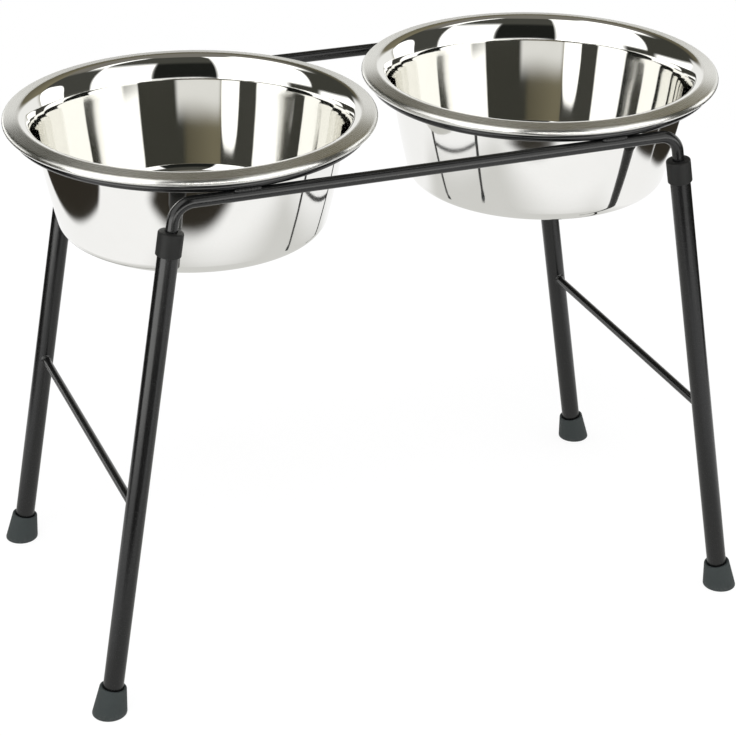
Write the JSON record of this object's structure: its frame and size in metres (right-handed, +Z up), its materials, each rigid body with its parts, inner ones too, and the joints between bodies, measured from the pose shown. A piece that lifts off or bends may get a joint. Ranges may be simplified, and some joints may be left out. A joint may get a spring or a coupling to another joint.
{
  "type": "raised dog feeder stand",
  "caption": "Raised twin dog feeder: round steel bowls hang by their rims in rod hoops on rails, carried by plug-on splayed tube leg frames with rubber feet.",
  "frame": {"origin": "on the floor, midway between the feet", "axes": "+X along the rails to the right bowl, +Y from front to rear, +Z up"},
  "size_m": [0.506, 0.2728, 0.378],
  "materials": {
    "frame_paint": "semi-gloss black paint on steel rod and tube",
    "sleeve_plastic": "moulded dark grey plastic, matte",
    "foot_rubber": "moulded dark grey rubber, matte",
    "bowl_steel": "mirror-polished stainless steel sheet, satin on the lip"
  },
  "bodies": {
    "top_frame": {"front_rail": "frame_paint", "rear_rail": "frame_paint", "left_hoop": "frame_paint", "right_hoop": "frame_paint", "hoop_welds": "frame_paint"},
    "left_leg_frame": {"front_left_leg": "frame_paint", "rear_left_leg": "frame_paint", "left_cross_rod": "frame_paint", "left_cross_welds": "frame_paint", "front_left_sleeve": "sleeve_plastic", "rear_left_sleeve": "sleeve_plastic", "front_left_foot": "foot_rubber", "rear_left_foot": "foot_rubber"},
    "right_leg_frame": {"front_right_leg": "frame_paint", "rear_right_leg": "frame_paint", "right_cross_rod": "frame_paint", "right_cross_welds": "frame_paint", "front_right_sleeve": "sleeve_plastic", "rear_right_sleeve": "sleeve_plastic", "front_right_foot": "foot_rubber", "rear_right_foot": "foot_rubber"},
    "left_bowl_body": {"left_bowl": "bowl_steel"},
    "right_bowl_body": {"right_bowl": "bowl_steel"}
  },
  "joints": [
    {"name": "left_bowl_lift", "type": "slide", "parent": "top_frame", "child": "left_bowl_body", "axis": [0, 0, 1], "range_m": [0, 0.12]},
    {"name": "right_bowl_lift", "type": "slide", "parent": "top_frame", "child": "right_bowl_body", "axis": [0, 0, 1], "range_m": [0, 0.12]},
    {"name": "left_legs_pull", "type": "slide", "parent": "top_frame", "child": "left_leg_frame", "axis": [-0.1616, 0, -0.9869], "range_m": [0, 0.06]},
    {"name": "right_legs_pull", "type": "slide", "parent": "top_frame", "child": "right_leg_frame", "axis": [0.1616, 0, -0.9869], "range_m": [0, 0.06]}
  ]
}
